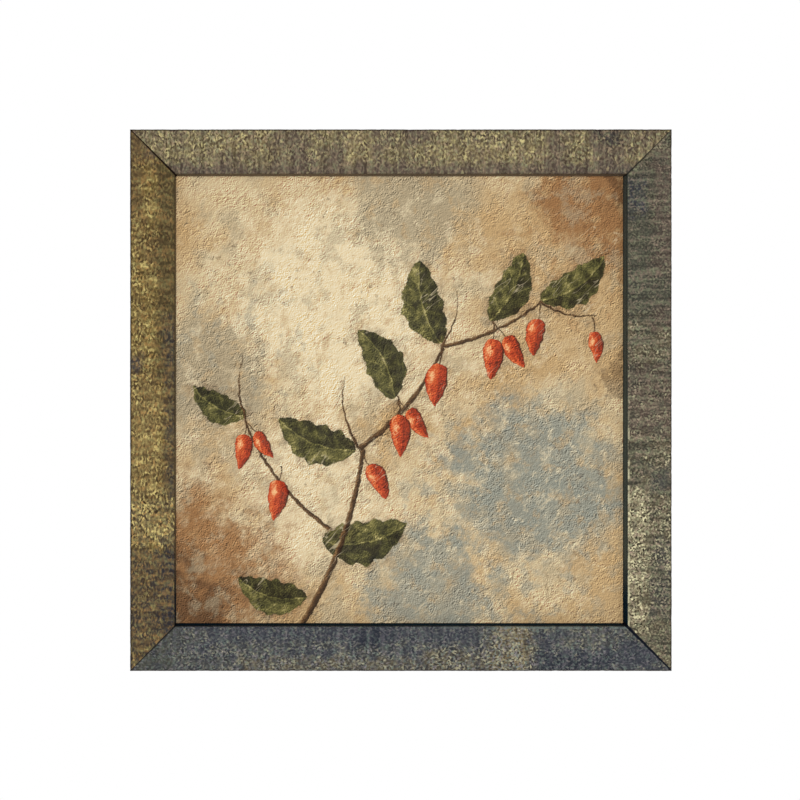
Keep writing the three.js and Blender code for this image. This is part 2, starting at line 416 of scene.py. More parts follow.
# %% Along and in from the outside
FADE_ALONG, FADE_ACROSS = 7, 4  # millimetres that the edge of a patch takes to fade


def rail_coordinates(side, place):
    """How far along the rail, rightwards or upwards, and how far in from its outside."""
    across, _, up = axes(place)
    outside = HALF / MM
    return {
        "top": (across, outside - up),
        "bottom": (across, up + outside),
        "left": (up, across + outside),
        "right": (up, outside - across),
    }[side]


def on_rail(side, along, depth, across):
    """Puts three numbers, named for a rail's own directions, in the order of the axes."""
    return (along, depth, across) if side in ("top", "bottom") else (across, depth, along)


def patch_mask(along, inwards, ragged, middle, middle_in, half, half_in):
    """1 inside a patch with a ragged edge, 0 outside it."""
    out_along = (abs(along - middle) - half) / FADE_ALONG
    out_across = (abs(inwards - middle_in) - half_in) / FADE_ACROSS
    return ease(larger(out_along, out_across) + (ragged - 0.5) * 5, 0.8, -0.8)


def ground_paint(layout, place, along, inwards, ragged):
    """The colour under the curls, and the share of pale there."""
    broad = cloud(drawn_out(place, *layout["bands"]), size=12, detail=3, rough=0.6)
    colour = blend(layout["ground"], layout["other"], ease(broad, 0.48, 0.6) * 0.75)
    pale = layout["share"] + (0.5 - broad) * 1.6
    for paint, share, *area in layout["patches"]:
        mask = patch_mask(along, inwards, ragged, *area)
        colour = blend(colour, paint, mask * 0.85)
        pale = pale + (share - pale) * mask
    tinge = ease(cloud(place, size=4.5, detail=4, rough=0.65), 0.46, 0.58)
    return blend(colour, layout["other"], tinge * 0.6), pale


print("a side rail runs along", "XYZ"[on_rail("left", 1, 0, 0).index(1)])

# %% [markdown]
# The old look comes from paint that has shrunk into curls: short wandering ridges, pale where they have
# been rubbed and dark between them. Gabor noise makes just that. It is made of waves of one width whose
# direction changes from place to place. Left alone they would look too even, so the place is stirred
# first and grit is added.


# %% Curls
CURL = 2.4  # millimetres from ridge to ridge
RUN = 1.1  # ridges side by side before their direction changes
SLANT = 0.8  # how fast the flat pattern moves on with depth, so that it also covers the sides
SWIRL = 3.2  # size of the swirls that stir the curls
SWIRL_REACH = 2.2  # and how far they move them


def waves(place, width, run):
    """Wandering waves about 0.5, this wide, this many of them side by side in one direction."""
    across, depth, up = axes(place)
    inputs = {"X": across + depth * SLANT, "Y": up + depth * SLANT}
    flat = place.node("ShaderNodeCombineXYZ", {}, inputs)
    inputs = {"Vector": flat, "Scale": 1 / (width * run), "Frequency": run, "Anisotropy": 0.0}
    return place.node("ShaderNodeTexGabor", {"gabor_type": "2D"}, inputs)


def stirred(place, size, reach, detail=2):
    """The place moved by up to this reach on each axis, in swirls of this size."""
    return cloud(place, size, detail=detail).beside("Color").vector_math("MULTIPLY_ADD", reach, place)


print(f"curls are {CURL} mm from ridge to ridge")

# %% [markdown]
# A rail's finish is built up as a painter would do it: the ground, dark furrows over it, then pale
# ridges and threads of paint in three hues. Over them lie faint marks of the brush, which went across
# each rail: noise drawn out long that way. Bright flecks and the edges come last. The ridges also
# feed the bump, so they catch the light.


# %% Distressed paint
PAINT_RELIEF = 0.16 * MM
CALM_BAND = (12, 26)  # in from the outside, where the calm starts and is full
BRUSH_LENGTH = 10  # brush marks are this many times as long as wide


def curled_paint(side, colour, pale, place, inwards):
    """Furrows, ridges, threads, brush marks and flecks over a ground. Gives the height and blotches too."""
    layout = RAIL_LAYOUTS[side]
    grain = stirred(drawn_out(place, *layout["grain"]), SWIRL, (SWIRL_REACH,) * 3)
    curl = waves(grain, CURL, RUN) + (cloud(grain, size=1.0, detail=2, rough=0.75) - 0.5) * 0.55
    ridges = ease(curl, 0.51, 0.65)
    furrows = ease(curl, 0.49, 0.38)
    lively = ease(cloud(place, size=6.5, detail=3, rough=0.6), 0.36, 0.62)
    lively = lively * (1 - ease(inwards, *CALM_BAND) * layout["calm"])
    contrast = pale * 0.8 + 0.5
    colour = blend(colour, layout["furrow"], furrows * (lively * 0.3 + 0.38) * (pale * 0.4 + 0.65))
    blotches = ease(cloud(place, size=2.6, detail=3, rough=0.6), 0.46, 0.62)
    hues = ease(cloud(place, size=3.6, detail=3, rough=0.7), 0.44, 0.56)
    bright, dull, warm = layout["pale"]
    paler = blend(blend(dull, warm, hues), bright, blotches * ease(pale, 0.2, 1.1))
    colour = blend(colour, paler, ridges * (lively * 0.46 + 0.26) * contrast)
    threads = thin_lines(grain, wide=0.03, thin=0.008, size=5, detail=3, rough=0.6)
    colour = blend(colour, paler, threads * (lively * 0.4 + 0.2) * contrast)
    streaks = cloud(drawn_out(grain, *on_rail(side, 1, 1, BRUSH_LENGTH)), size=3.0, detail=2, rough=0.6)
    colour = blend(colour, layout["furrow"], ease(streaks, 0.49, 0.36) * layout["streaks"])
    colour = blend(colour, paler, ease(streaks, 0.51, 0.64) * (layout["streaks"] * 0.7))
    flecks = ease(cloud(grain, size=2.6, detail=2), 0.6, 0.66) * ease(curl, 0.42, 0.54)
    colour = blend(colour, bright, flecks * lively * (pale + 0.1) * 0.7)
    return colour, (ridges - furrows) * 0.5 + blotches * 0.2, blotches


def rail_finish(side):
    """The material of one rail."""
    material, shader, place = new_material(f"paint_{side}", Specular_IOR_Level=0.02)
    along, inwards = rail_coordinates(side, place)
    ragged = cloud(place, size=8, detail=4, rough=0.65)
    colour, pale = ground_paint(RAIL_LAYOUTS[side], place, along, inwards, ragged)
    colour, height, blotches = curled_paint(side, colour, pale, place, inwards)
    colour = edges_of_paint(side, colour, place, along, inwards, ragged)
    colour, height = over_bare_wood(side, colour, height, place, inwards, ragged)
    feed(shader, Base_Color=colour, Roughness=0.7 + blotches * 0.15, Normal=relief(height, PAINT_RELIEF))
    return material


# %% [markdown]
# Handling changes the paint at its edges. A thin dark line runs along the outside, dark paint with
# painted shade where the face rolls over its rounded edge. The lip, the side that faces into the
# picture, has a darker paint of its own, navy along the bottom, and painted shade under the arris and
# beside the canvas. The arris between the lip and the face is rubbed through to a pale line, most on
# the lower part of the right rail; on the top and left rails a faint painted shade darkens it instead.


# %% Edges of the paint
LIP_PAINTS = {
    "top": tint(130, 115, 98),
    "left": tint(122, 108, 86),
    "right": tint(86, 95, 91),
    "bottom": tint(0, 36, 54),
}
LIP_SHADE = tint(36, 36, 32)  # painted shade beside the canvas and under the arris
ROLLED = {"top": 2.0, "left": 1.0, "right": 0.1, "bottom": 2.6}  # how far the face's paint reaches onto it
# dark paint along the outside, with painted shade on its rounded edge
EDGE_DARK = tint(44, 35, 29)
# Where each of these starts and is full, in millimetres.
EDGE_LINE = (1.5, 0.8)  # the dark line and its painted shade outside, inwards from there
SIDE_LINE = (1.2, 3)  # the outer side, backwards from the front
ARRIS_LINE = (-2.0, -1.1)  # the arris's pale line, inwards from the lip
LIP_LINE = (-0.7, -0.35)  # the lip's own paint, inwards from the lip
ROLLED_LINE = (0, 0.4)  # and backwards from where the face's paint ends
UPPER_SHADE = (3.5, 2)  # the painted shade under the arris, backwards from there too
LOWER_SHADE = (8.5, 10.5)  # the painted shade beside the canvas, backwards from the front
ARRIS_WEAR_AND_SHADE = {  # the arris: its paint, where along the rail it starts and is full, and its strength
    "right": (tint(206, 200, 164), 20, -40, 0.8),
    "bottom": (tint(112, 124, 118), 10, 70, 0.7),
    # painted shade: a faint dark line along the whole arris of the top and left rails
    "top": (tint(60, 50, 46), -400, -300, 0.2),
    "left": (tint(44, 42, 36), -400, -300, 0.2),
}
NAVY_REACH = (-104, -140)  # along a side rail, where the bottom rail's navy starts on its lip and is full


def edges_of_paint(side, colour, place, along, inwards, ragged):
    """The dark line outside with its painted shade, the arris, worn pale on some rails and darkened with
    painted shade on others, the lip's own paint with painted shade, and the lines along the mitres.
    """
    _, depth, _ = axes(place)
    face = FACE / MM
    front = FRONT / MM
    on_side = ease_from(front, depth, SIDE_LINE)
    # the dark line outside: dark paint, with painted shade on the rounded edge
    colour = blend(colour, EDGE_DARK, ease(inwards, *EDGE_LINE) * (0.85 - on_side * 0.4))
    # the arris: worn pale on the right and bottom rails, painted shade on the top and left ones
    paint, start, full, strength = ARRIS_WEAR_AND_SHADE[side]
    arris = ease_from(face, inwards, ARRIS_LINE) * ease(along + (ragged - 0.5) * 60, start, full)
    colour = blend(colour, paint, arris * ease(ragged, 0.43, 0.55) * strength)
    rolled = front + ROLLED[side]
    beside_picture = ease_from(face, inwards, LIP_LINE) * ease_from(rolled, depth, ROLLED_LINE)
    # painted shade on the lip: under the arris, and beside the canvas
    shade = larger(ease_from(rolled, depth, UPPER_SHADE), ease_from(front, depth, LOWER_SHADE))
    lip = blend(LIP_PAINTS[side], LIP_SHADE, shade * 0.5)
    if side in ("left", "right"):
        lip = blend(lip, LIP_PAINTS["bottom"], ease(along + (ragged - 0.5) * 40, *NAVY_REACH))
    colour = blend(colour, lip, beside_picture)
    return open_line(side, colour, along, inwards, ragged)


# %% [markdown]
# The mitres are joined after the rails are painted, and each closes differently: the lower right one
# stays open as a broad navy line, and the upper right one is thin and grey. The same list later gives
# each line its depth.

# %% The lines along the mitres
# A corner's line has a paint, a half width in millimetres, which grows inwards, and a strength.
MITRES = {
    "bottom_left": (tint(34, 34, 38), 0.52, 0.85),
    "top_left": (tint(30, 20, 17), 0.64, 0.95),
    "top_right": (tint(38, 38, 38), 0.5, 0.75),
    "bottom_right": (tint(16, 22, 36), 0.95, 0.95),
}
LINE_SOFT = (0.2, -0.2)  # from its edge, where the line starts and is full
END_CORNERS = {  # at the rail's start and at its end, along it
    "bottom": ("bottom_left", "bottom_right"),
    "left": ("bottom_left", "top_left"),
    "top": ("top_left", "top_right"),
    "right": ("bottom_right", "top_right"),
}


def open_line(side, colour, along, inwards, ragged):
    """Darkens the line along the mitre at each end of a rail. It is broadest at the picture."""
    growth = inwards * (0.7 * MM / FACE) + 0.5
    for corner, sign in zip(END_CORNERS[side], (-1, 1)):
        paint, half, strength = MITRES[corner]
        from_mitre = (HALF / MM - inwards - along * sign) / math.sqrt(2)
        line = ease_from(growth * half, from_mitre + (ragged - 0.5) * 0.4, LINE_SOFT)
        colour = blend(colour, paint, line * strength)
    return colour


# %% [markdown]
# Painted mouldings are sprayed and wiped from the front, so the paint stops on the outer side near the
# back and never reaches the rebate. What it leaves bare is pale softwood, with grain lines along the
# rail and the marks of the planer across it.

# %% Bare wood
WOOD_LIGHT = tint(205, 174, 130)
WOOD_DARK = tint(160, 122, 82)
WOOD_STAIN = tint(122, 94, 66)
PAINT_STOPS = (-2.6, -3.2)  # on the outer side, in millimetres from the wall
PAINTED_LIP = (-0.02, -0.1)  # where the paint starts and is full, in front of the lip's back


def bare_wood(side, place):
    """The colour and height of planed softwood whose grain runs along the rail."""
    lengthwise = drawn_out(place, *on_rail(side, 30, 1, 1))
    crosswise = drawn_out(place, *on_rail(side, 1, 8, 8))
    rings = cloud(lengthwise, size=2.2, detail=3, rough=0.6, wander=0.4)
    fibres = cloud(lengthwise, size=0.5, detail=2)
    planer = cloud(crosswise, size=1.6, detail=0)
    colour = blend(WOOD_LIGHT, WOOD_DARK, ease(rings, 0.46, 0.68) * 0.75)
    colour = blend(colour, WOOD_STAIN, ease(cloud(place, size=34, detail=4), 0.5, 0.7) * 0.35)
    colour = blend(colour, WOOD_DARK, ease(fibres, 0.46, 0.66) * 0.55)
    return colour, fibres * 0.5 + rings * 0.3 + planer * 0.2


def over_bare_wood(side, colour, height, place, inwards, ragged):
    """Paint in front of the lip's back and down the outer side, over wood everywhere else."""
    _, depth, _ = axes(place)
    wood, wood_height = bare_wood(side, place)
    in_front = ease_from(LIP_BACK / MM, depth, PAINTED_LIP)
    outer_side = ease(inwards, 3, 1.5) * ease(depth + ragged * 2.5, *PAINT_STOPS)
    painted = larger(in_front, outer_side)
    return blend(wood, colour, painted), wood_height + (height - wood_height) * painted


rail_paints = {side: rail_finish(side) for side in RAIL_LAYOUTS}
print("paints:", ", ".join(material.name for material in rail_paints.values()))

# %% [markdown]
# ## The rails
# A moulding is one section along a length, so its mesh is a ring of edges, swept by the spin operator
# with no angle. The ring's corners are bevelled first, and it is divided finely where the paint shows.
# The sweep runs from x = -1 to 1, in a few long parts that are then cut across, and is only later
# stretched to the rail's length, because a straight sweep is easier to wear down.

# %% The moulding's section
REBATE_WIDTH = 6 * MM
OUTER_ROUND = 1.4 * MM
SIGHT_ROUND = 0.8 * MM
BACK_CHAMFER = 0.8 * MM
FINE = 0.7 * MM  # length of an edge on a painted face
COARSE = 3 * MM  # and on bare wood
SWEEP_PARTS = 52
PART_CUTS = 9  # cuts across each part of the sweep


def section_ring():
    """The moulding's section in the plane x = -1. Its z is the distance in from the outside."""
    wall = FACE - REBATE_WIDTH
    corners = [  # y, z, and the radius and the segments of its bevel
        (BACK, 0, BACK_CHAMFER, 1),
        (BACK, wall, 0, 0),
        (LIP_BACK, wall, 0, 0),
        (LIP_BACK, FACE, 0, 0),
        (FRONT, FACE, SIGHT_ROUND, 5),
        (FRONT, 0, OUTER_ROUND, 6),
    ]
    bm = bmesh.new()
    verts = [bm.verts.new((-1, y, z)) for y, z, _, _ in corners]
    bm.faces.new(verts)
    for vert, (_, _, radius, segments) in zip(verts, corners):
        if radius:
            bmesh.ops.bevel(
                bm, geom=[vert], offset=radius, segments=segments,
                profile=0.5, affect="VERTICES", material=-1,
            )
    bmesh.ops.delete(bm, geom=bm.faces[:], context="FACES_ONLY")
    for edge in bm.edges[:]:
        middle = (edge.verts[0].co + edge.verts[1].co) / 2
        painted = middle.y < LIP_BACK - MM or middle.z < MM / 2
        cuts = int(edge.calc_length() / (FINE if painted else COARSE))
        if cuts:
            bmesh.ops.subdivide_edges(bm, edges=[edge], cuts=cuts)
    return bm


def sweep(bm):
    """The section from x = -1 to 1, open at both ends."""
    bmesh.ops.spin(
        bm, geom=bm.verts[:] + bm.edges[:], cent=(0, 0, 0), axis=(0, 1, 0),
        dvec=(2 / SWEEP_PARTS, 0, 0), angle=0, steps=SWEEP_PARTS, use_merge=False,
    )
    lengthwise = [e for e in bm.edges if abs(e.verts[0].co.x - e.verts[1].co.x) > SAME]
    bmesh.ops.subdivide_edges(bm, edges=lengthwise, cuts=PART_CUTS, use_grid_fill=True)


straight = section_ring()
print("the section has", len(straight.verts), "points")
sweep(straight)
print("the sweep has", len(straight.faces), "faces")

# %% [markdown]
# The four mitres are cut and painted apart, so a dark line stays open along each of them. Cuts beside
# each end give the sloping side of that line points of its own.

# %% The open line along a mitre
GROOVE_REACH = 0.45 * MM  # half width of the line, past the gap
GROOVE_DEPTH = 0.7 * MM
GROOVE_ROWS = (1.0, 0.4)  # rows of points, as shares of its reach

for end in (-1, 1):
    for share in GROOVE_ROWS:
        inside = share * GROOVE_REACH * math.sqrt(2) / HALF
        bmesh.ops.bisect_plane(
            straight, geom=straight.verts[:] + straight.edges[:] + straight.faces[:], dist=SAME,
            plane_co=(end * (1 - inside), 0, 0), plane_no=(1, 0, 0),
        )
bmesh.ops.recalc_face_normals(straight, faces=straight.faces[:])
straight.normal_update()
print("with the rows beside its ends it has", len(straight.faces), "faces")


def groove_depth(vert, normal, corners):
    """How far a point sinks into the open line. Only what faces forwards sinks."""
    _, _, strength = MITRES[corners[vert.co.x > 0]]
    from_mitre = (1 - abs(vert.co.x)) * (HALF - vert.co.z) / math.sqrt(2)
    depth = GROOVE_DEPTH * strength**2 * (0.3 + 0.7 * vert.co.z / FACE)
    return depth * max(0, 1 - from_mitre / GROOVE_REACH) * max(0, -normal.y)


# %% [markdown]
# Paint and wood are never dead straight. Each point sinks along its own normal: a slow wave, a fine
# grit on painted faces, and knocks that are deepest on the two front edges. Nothing moves outwards, so
# the rail stays inside the size that the model gives it, and the lip's back stays flat.

# %% Wear
WAVE, GRIT, KNOCK = 0.16 * MM, 0.14 * MM, 0.6 * MM  # depths of the three kinds of wear
EDGE_REACH = 2.4 * MM  # how far from an edge its knocks reach
WAVE_SIZE, GRIT_SIZE, DENT_SIZE, RUB_SIZE = 38, 1.8, 4.5, 21  # millimetres
NEXT_RAIL = 431  # how far the noise moves on from one rail to the next
GRIT_STOPS = -5 * MM  # behind this the outer side has less grit
LEFT_ALONE = 0.05 * MM  # what is this near to the lip's back isn't worn
CORNERS = ("bottom_left", "top_left", "top_right", "bottom_right")  # clockwise, as the rail is turned
MITRE_GAP = 0.02 * MM


def wear_depth(vert, seed):
    """How far a point is worn down. seed gives each rail wear of its own."""
    x, y, z = vert.co
    if abs(y - LIP_BACK) < LEFT_ALONE:
        return 0.0
    place = Vector((x * (HALF - z), y, z)) / MM + Vector((seed * NEXT_RAIL, 0, 0))
    to_outer = math.hypot(y - FRONT, z)
    to_sight = math.hypot(y - FRONT, z - FACE)
    edge = max(0.0, 1 - min(to_outer, to_sight) / EDGE_REACH)
    painted = 1.0 if y < LIP_BACK or (z < MM / 2 and y < GRIT_STOPS) else 0.3
    wave = 0.5 + 0.5 * noise.noise(place / WAVE_SIZE)
    grit = max(0.0, 0.5 + 0.6 * noise.fractal(place / GRIT_SIZE, 0.6, 2.0, 2))
    dent = max(0.0, noise.noise(place / DENT_SIZE) - 0.2)
    rub = max(0.0, noise.noise(place / RUB_SIZE + Vector((1, 8, 2))) - 0.2)
    return WAVE * wave + GRIT * grit * painted + KNOCK * edge * (dent + 0.6 * rub)


def wear_down(bm, turns):
    """Sinks each point by its wear and, near the rail's ends, by the open line."""
    corners = (CORNERS[turns], CORNERS[turns - 1])
    for vert in bm.verts:
        normal = vert.normal.copy()
        sunk = groove_depth(vert, normal, corners)
        vert.co -= normal * wear_depth(vert, turns)
        vert.co.y += sunk


def to_length(bm):
    """Stretches the sweep to the bottom rail, round the picture's middle, with mitred ends, and closes it."""
    set_back = MITRE_GAP / 2 * math.sqrt(2)
    for vert in bm.verts:
        vert.co.x *= HALF - vert.co.z - set_back
        vert.co.z -= HALF
    for end in (-1, 1):
        rim = [e for e in bm.edges if e.is_boundary and e.verts[0].co.x * end > 0]
        bmesh.ops.triangle_fill(bm, use_beauty=True, edges=rim)
    bmesh.ops.recalc_face_normals(bm, faces=bm.faces[:])


print(f"knocks are up to {KNOCK / MM:.1f} mm deep")

# %% [markdown]
# The steel that holds the frame together sits in slots in the wood. Each slot is the model's own piece
# of steel, swollen by the gap, and cut out of the rail with a Boolean modifier that is then applied.


# %% Slots for the steel
FLAT = math.radians(0.5)  # faces that meet at less than this are one flat face


def merged_copy(node):
    """The model's mesh as a bmesh with its points merged and its flat faces whole."""
    bm = bmesh.new()
    bm.from_mesh(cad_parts[node].data)
    bmesh.ops.remove_doubles(bm, verts=bm.verts[:], dist=SAME)
    bmesh.ops.dissolve_limit(bm, angle_limit=FLAT, verts=bm.verts[:], edges=bm.edges[:])
    bmesh.ops.recalc_face_normals(bm, faces=bm.faces[:])
    return bm


def steel_in(side):
    """The names of the steel pieces that go into a rail."""
    starts = (f"tab_{side}", "hanger_nail") if side == "top" else (f"tab_{side}",)
    corners = [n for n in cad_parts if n.startswith("v_nail") and side in n]
    return corners + [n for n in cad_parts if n.startswith(starts)]


def slot_cutter(nodes):
    """One object that fills all the slots. It comes out at the back, where a V nail's head shows."""
    joined = bpy.data.meshes.new("slots")
    bm = bmesh.new()
    for node in nodes:
        piece = merged_copy(node)
        bmesh.ops.triangulate(piece, faces=piece.faces[:])
        piece.normal_update()
        back = max(v.co.y for v in piece.verts)
        swollen = [(v, v.co + v.normal * GAP) for v in piece.verts]
        for vert, place in swollen:
            at_head = "v_nail" in node and vert.co.y > back - GAP
            vert.co = place + Vector((0, MM if at_head else 0, 0))
        piece.to_mesh(joined)
        piece.free()
        bm.from_mesh(joined)
    bm.to_mesh(joined)
    bm.free()
    return new_object("slots", joined)


def cut_slots(piece, nodes):
    """Cuts the slots for these pieces of steel out of a rail."""
    cutter = slot_cutter(nodes)
    modifier = piece.modifiers.new("slots", "BOOLEAN")
    modifier.operation = "DIFFERENCE"
    modifier.solver = "MANIFOLD"
    modifier.object = cutter
    shaped = piece.evaluated_get(bpy.context.evaluated_depsgraph_get())
    piece.data = bpy.data.meshes.new_from_object(shaped)
    piece.modifiers.clear()
    bpy.data.objects.remove(cutter)


print("the top rail holds", len(steel_in("top")), "pieces of steel")

# %% [markdown]
# Each new piece rides on the model's body, stands for the node it replaces, and is shaded smooth with
# its sharp edges kept, as a worn edge still has a bright line.

# %% A finished piece
SHARP = math.radians(38)


def mesh_object(name, bm, material):
    """An object with the mesh of a bmesh, which is then freed, and this material."""
    mesh = bpy.data.meshes.new(name)
    bm.to_mesh(mesh)
    bm.free()
    mesh.materials.append(material)
    return new_object(name, mesh)


def add_piece(name, bm, material, slot, *nodes):
    """Makes an object of a bmesh, which stands for these nodes of the model."""
    for face in bm.faces:
        face.smooth = True
    for edge in bm.edges:
        edge.smooth = not (edge.is_manifold and edge.calc_face_angle() > SHARP)
    piece = mesh_object(name, bm, material)
    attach(piece, "root")
    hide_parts(*nodes)
    return piece


TURNS = {"bottom": 0, "left": 1, "top": 2, "right": 3}  # quarter turns, clockwise from the front
PAINT_SLOTS = {"bottom": "slate", "left": "gold", "top": "olive", "right": "drab"}

for side, turns in TURNS.items():
    rail = straight.copy()
    wear_down(rail, turns)
    to_length(rail)
    bmesh.ops.rotate(rail, verts=rail.verts[:], matrix=Matrix.Rotation(turns * math.pi / 2, 3, "Y"))
    bmesh.ops.translate(rail, verts=rail.verts[:], vec=CENTRE)
    piece = add_piece(
        f"worn_rail_{side}", rail, rail_paints[side], f"rail_paint_{PAINT_SLOTS[side]}", f"rail_{side}"
    )
    cut_slots(piece, steel_in(side))
    print(f"{piece.name}: {len(piece.data.polygons)} faces, slots for {len(steel_in(side))} pieces of steel")
straight.free()

# %% [markdown]
# ## The canvas
# The picture is a print on canvas, glued to its board. The print is made to look like an old oil: a
# ground of cream, tan and blue-grey brushed over each other, and a branch of lantern fruit over it.
# First come the sheet and its real relief, which is the brushed ground that shows under the print.

# %% The canvas sheet
CANVAS_STEPS = 300  # squares of the mesh each way
BRUSHING = math.radians(42)  # the brush went from lower left to upper right
STROKE_RELIEF = 0.15 * MM
FINE_STROKE = (4.2, 1.9)  # length and width in millimetres
BROAD_STROKE = (19, 11)


def stroke_height(x, z):
    """Height of the brushed ground, from 0 to 1, at a place in millimetres."""
    along = x * math.cos(BRUSHING) + z * math.sin(BRUSHING)
    aside = z * math.cos(BRUSHING) - x * math.sin(BRUSHING)
    fine = noise.noise(Vector((along / FINE_STROKE[0], 0, aside / FINE_STROKE[1])))
    broad = noise.noise(Vector((along / BROAD_STROKE[0], 5, aside / BROAD_STROKE[1])))
    return min(1.0, max(0.0, 0.5 + 0.45 * fine + 0.35 * broad))


canvas = bmesh.new()
bmesh.ops.create_grid(canvas, x_segments=CANVAS_STEPS, y_segments=CANVAS_STEPS, size=CANVAS_HALF)
for vert in canvas.verts:
    height = 0.0 if vert.is_boundary else stroke_height(vert.co.x / MM, vert.co.y / MM)
    vert.co.z = STROKE_RELIEF * height
bmesh.ops.rotate(canvas, verts=canvas.verts[:], matrix=Matrix.Rotation(math.pi / 2, 3, "X"))
bmesh.ops.translate(canvas, verts=canvas.verts[:], vec=(0, CANVAS_LOW.y, CENTRE.z))
rim = [edge for edge in canvas.edges if edge.is_boundary]
sides = bmesh.ops.extrude_edge_only(canvas, edges=rim)["geom"]
back_points = [item for item in sides if isinstance(item, bmesh.types.BMVert)]
bmesh.ops.translate(canvas, verts=back_points, vec=(0, CANVAS_HIGH.y - CANVAS_LOW.y, 0))
bmesh.ops.holes_fill(canvas, edges=[edge for edge in canvas.edges if edge.is_boundary], sides=0)
bmesh.ops.recalc_face_normals(canvas, faces=canvas.faces[:])
print("the canvas has", len(canvas.faces), "faces")

# %% [markdown]
# The ground is laid in washes, each a paint round a point, with an edge that a large noise makes
# ragged. Over them go scumbles: broken dabs of one paint, kept to a part of the picture, which leave
# the wash to show between them.

# %% Washes and scumbles
CREAM = tint(232, 214, 176)
BUFF = tint(208, 186, 146)
GREIGE = tint(168, 153, 124)
BLUE_GREY = tint(138, 141, 130)
SAND = tint(190, 158, 112)
RUSSET = tint(150, 108, 68)
UMBER = tint(84, 58, 38)

RAGGED_REACH = 170  # millimetres that a wash's ragged edge wanders over
# A paint, its middle rightwards and upwards of the picture's, its radius, and its strength.
WASHES = [
    (CREAM, -40, 66, 80, 0.95),
    (CREAM, -54, -66, 56, 0.75),
    (GREIGE, 8, 136, 46, 0.85),
    (SAND, 122, 96, 74, 0.9),
    (BLUE_GREY, 92, -56, 62, 0.9),
    (BLUE_GREY, 20, -130, 42, 0.8),
    (GREIGE, -132, 12, 46, 0.9),
    (RUSSET, 152, 136, 56, 0.95),
    (RUSSET, -146, -124, 66, 0.95),
    (SAND, 148, -140, 42, 0.8),
    (UMBER, -164, -152, 46, 0.75),
    (UMBER, 166, 156, 26, 0.6),
    (UMBER, 158, 18, 16, 0.5),
]
# A paint, the size and seed of its dabs, how rare they are, their strength, and their zone's middle
# and radius.
SCUMBLES = [
    (GREIGE, 24, 11, 0.5, 0.5, 0, 0, 400),
    (CREAM, 15, 29, 0.52, 0.5, -30, 20, 150),
    (SAND, 12, 47, 0.52, 0.45, 40, 30, 220),
    (BLUE_GREY, 15, 83, 0.5, 0.5, 70, -90, 90),
    (CREAM, 9, 19, 0.54, 0.45, 80, -80, 90),
    (BLUE_GREY, 12, 37, 0.53, 0.35, -110, 40, 60),
    (RUSSET, 9, 61, 0.51, 0.5, -130, -110, 70),
    (RUSSET, 11, 73, 0.51, 0.5, 130, 110, 70),
]


def flattened(place):
    """The place without its depth."""
    return place.vector_math("MULTIPLY", (1, 0, 1))


def moved(place, x, z):
    """The place moved by this much."""
    return place.vector_math("ADD", (x, 0, z))


def distance(place, x, z):
    """How far the place is from a point of the picture."""
    return place.vector_math("DISTANCE", (x, 0, z), output="Value")


def painted_ground(place):
    """The washes, the scumbles over them, and spots of dirt."""
    ragged = cloud(place, size=30, detail=7, rough=0.66) * 0.7
    ragged = ragged + cloud(place, size=7, detail=3, rough=0.7) * 0.3
    colour = blend(BUFF, SAND, ease(cloud(place, size=46, detail=4), 0.42, 0.64))
    for paint, x, z, radius, strength in WASHES:
        mask = ease(distance(place, x, z) + (ragged - 0.5) * RAGGED_REACH, radius * 1.2, radius * 0.6)
        colour = blend(colour, paint, mask * strength)
    for paint, size, seed, rare, strength, x, z, radius in SCUMBLES:
        dabs = cloud(moved(place, seed, -seed), size, detail=6, rough=0.68)
        zone = ease(distance(place, x, z), radius * 1.3, radius * 0.6) * strength
        colour = blend(colour, paint, ease(dabs, rare, rare + 0.1) * zone)
    dirt = ease(cloud(place, size=34, detail=3), 0.48, 0.62)
    spots = ease(cloud(place, size=4.5, detail=4, rough=0.65), 0.54, 0.68)
    return blend(colour, UMBER, spots * (dirt * 0.45 + 0.08))


print(len(WASHES), "washes and", len(SCUMBLES), "scumbles")

# %% [markdown]
# What makes the print look like an old painting is its brushwork: short ridges of stiff paint from
# lower left to upper right. A print shows them already lit, here from the lower right. That light is
# the difference between the ridges' height here and a little towards the light. Overlay then makes the
# paint lighter or darker in proportion, so that its hue stays.


# %% Brushwork and age
TO_LIGHT = (0.4, -0.4)  # millimetres, rightwards and upwards


def brushed(place, turn, length, width, x=0.0, z=0.0):
    """The place in strokes of this length and width, turned anticlockwise in degrees."""
    settings = {"vector_type": "TEXTURE"}
    inputs = {
        "Vector": place,
        "Location": (x, 0, z),
        "Rotation": (0, -math.radians(turn), 0),
        "Scale": (length, 1, width),
    }
    return place.node("ShaderNodeMapping", settings, inputs)


def impasto(place):
    """The height of the brushwork: dabs of paint under a fine grain."""
    dabs = cloud(brushed(place, turn=40, length=1.4, width=1.0), size=2.4, detail=3, rough=0.62, wander=0.6)
    return dabs * 1.4 + waves(place, width=1.5, run=1.1) * 0.75


def aged(colour, place):
    """The paint lit along its brushwork, with fine pale scratches."""
    lit = impasto(place) - impasto(moved(place, *TO_LIGHT))
    strength = ease(cloud(place, size=18, detail=2), 0.36, 0.62) * 0.7 + 0.5
    light = lit * strength + 0.5
    settings = {"data_type": "RGBA", "blend_type": "OVERLAY"}
    colour = light.node("ShaderNodeMix", settings, {0: 1.0, 6: colour, 7: light}, output=2)
    scratch = thin_lines(brushed(place, turn=44, length=34, width=6), wide=0.012, thin=0.002)
    return blend(colour, CREAM, scratch * ease(cloud(place, size=30), 0.52, 0.6) * 0.4)


# %% [markdown]
# The branch is drawn from three kinds of mark: stems, leaves and lantern fruit. A mark has its own
# axes, along it and aside from it. In them it says how far a point is inside its outline, and gives a
# tone, from dark to light, that a ramp of colours later turns into paint.


